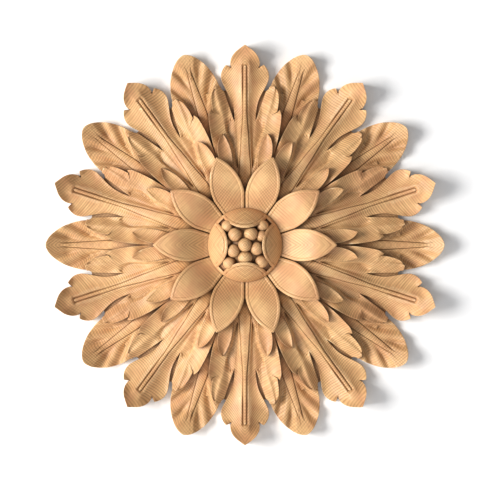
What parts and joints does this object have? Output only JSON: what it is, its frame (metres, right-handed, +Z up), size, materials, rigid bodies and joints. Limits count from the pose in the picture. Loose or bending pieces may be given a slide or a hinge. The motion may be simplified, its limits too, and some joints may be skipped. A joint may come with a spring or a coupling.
{
  "type": "carved rosette",
  "caption": "Round carved wooden rosette: petals, lobed pointed leaves and round leaves ring a centre button of berries; flat back for gluing to a door, wall or ceiling.",
  "frame": {"origin": "centre of the flat back face, which lies on the wall, door or ceiling", "axes": "+Y out of the back towards the wall, so the carving faces -Y; +X to the viewer's right; +Z up along a pointed leaf"},
  "size_m": [0.3, 0.0334, 0.3],
  "materials": {
    "wood": "bare sanded pale hardwood, fine straight grain, satin"
  },
  "bodies": {
    "root": {"rosette": "wood"}
  },
  "joints": []
}
